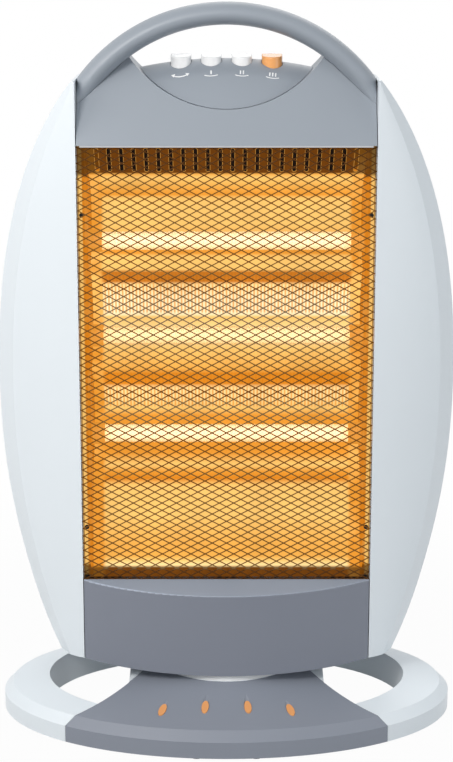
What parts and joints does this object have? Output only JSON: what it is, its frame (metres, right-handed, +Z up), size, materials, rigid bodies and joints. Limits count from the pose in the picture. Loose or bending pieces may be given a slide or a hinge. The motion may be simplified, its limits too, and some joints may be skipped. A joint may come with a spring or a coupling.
{
  "type": "oscillating quartz heater",
  "caption": "Free-standing electric quartz heater: an oval body with glowing tubes behind a mesh guard, push buttons under an arched handle, sweeping on an oval ring base.",
  "frame": {"origin": "on the floor under the axis about which the heater body sweeps, at the centre of the base", "axes": "+Z up, the guard faces -Y, +X to the viewer's right"},
  "size_m": [0.36, 0.224, 0.5554],
  "materials": {
    "white_plastic": "smooth moulded white",
    "grey_plastic": "satin moulded grey",
    "black_plastic": "fine moulded black",
    "button_white": "polished white",
    "button_orange": "polished orange",
    "lens_orange": "translucent orange",
    "zinc_steel": "bright zinc plate",
    "dark_steel": "dark painted sheet",
    "reflector_sheet": "bright rolled sheet",
    "guard_wire": "dark coated expanded metal",
    "quartz": "frosted fused quartz",
    "filament": "glowing resistance wire",
    "ceramic": "unglazed ceramic",
    "rubber": "matt rubber",
    "acetal": "slippery white acetal",
    "board": "bare circuit board",
    "brass": "plain brass"
  },
  "bodies": {
    "base": {"base_shell": "white_plastic", "base_front_insert": "grey_plastic", "indicator_lenses": "lens_orange", "lamp_board": "board", "indicator_lamps": "quartz", "base_bottom_plate": "dark_steel", "base_screws": "zinc_steel", "rubber_feet": "rubber", "cord_inlet_gland": "rubber", "oscillation_motor": "zinc_steel", "motor_screws": "zinc_steel", "turntable_ring": "acetal", "tip_over_switch": "black_plastic", "terminal_block": "ceramic"},
    "heater_body": {"body_floor": "grey_plastic", "sweep_yoke": "zinc_steel", "retaining_washer": "zinc_steel", "retaining_screws": "zinc_steel", "right_side_panel": "white_plastic", "left_side_panel": "white_plastic", "right_chassis_plate": "zinc_steel", "left_chassis_plate": "zinc_steel", "lower_front_panel": "grey_plastic", "top_deck": "zinc_steel", "rear_cover": "grey_plastic", "rear_screws": "zinc_steel", "top_cover": "grey_plastic", "carry_handle": "grey_plastic", "control_panel": "grey_plastic", "push_switches": "black_plastic", "switch_bracket": "zinc_steel", "thermal_cutout": "brass", "reflector": "reflector_sheet", "right_tube_bracket": "reflector_sheet", "left_tube_bracket": "reflector_sheet", "quartz_tube_upper": "quartz", "quartz_tube_middle": "quartz", "quartz_tube_lower": "quartz", "filament_upper": "filament", "filament_middle": "filament", "filament_lower": "filament", "tube_end_caps": "ceramic", "guard_mesh": "guard_wire"},
    "crank": {"drive_crank": "zinc_steel"},
    "plunger": {"tip_over_plunger": "acetal"},
    "swing_button": {"swing_button": "button_white"},
    "power_button_1": {"power_button_1": "button_white"},
    "power_button_2": {"power_button_2": "button_white"},
    "power_button_3": {"power_button_3": "button_orange"}
  },
  "joints": [
    {"name": "sweep", "type": "hinge", "parent": "base", "child": "heater_body", "pos_m": [0, 0, 0.044], "axis": [0, 0, 1], "range_deg": [-30, 30]},
    {"name": "crank_turn", "type": "hinge", "parent": "base", "child": "crank", "pos_m": [0, 0.0305, 0.037], "axis": [0, 0, 1], "range_deg": [-101, 101]},
    {"name": "tip_over_slide", "type": "slide", "parent": "base", "child": "plunger", "axis": [0, 0, 1], "range_m": [-0.006, 0], "stiffness_N_per_m": 60, "springref_m": -0.008},
    {"name": "swing_button_press", "type": "slide", "parent": "heater_body", "child": "swing_button", "axis": [0, 0, -1], "range_m": [0, 0.004], "stiffness_N_per_m": 250, "springref_m": -0.002},
    {"name": "power_button_1_press", "type": "slide", "parent": "heater_body", "child": "power_button_1", "axis": [0, 0, -1], "range_m": [0, 0.004], "stiffness_N_per_m": 250, "springref_m": -0.002},
    {"name": "power_button_2_press", "type": "slide", "parent": "heater_body", "child": "power_button_2", "axis": [0, 0, -1], "range_m": [0, 0.004], "stiffness_N_per_m": 250, "springref_m": -0.002},
    {"name": "power_button_3_press", "type": "slide", "parent": "heater_body", "child": "power_button_3", "axis": [0, 0, -1], "range_m": [0, 0.004], "stiffness_N_per_m": 250, "springref_m": -0.002}
  ],
  "couplings": [
    {"joint": "crank_turn", "follows": "sweep", "ratio": 3.35}
  ]
}
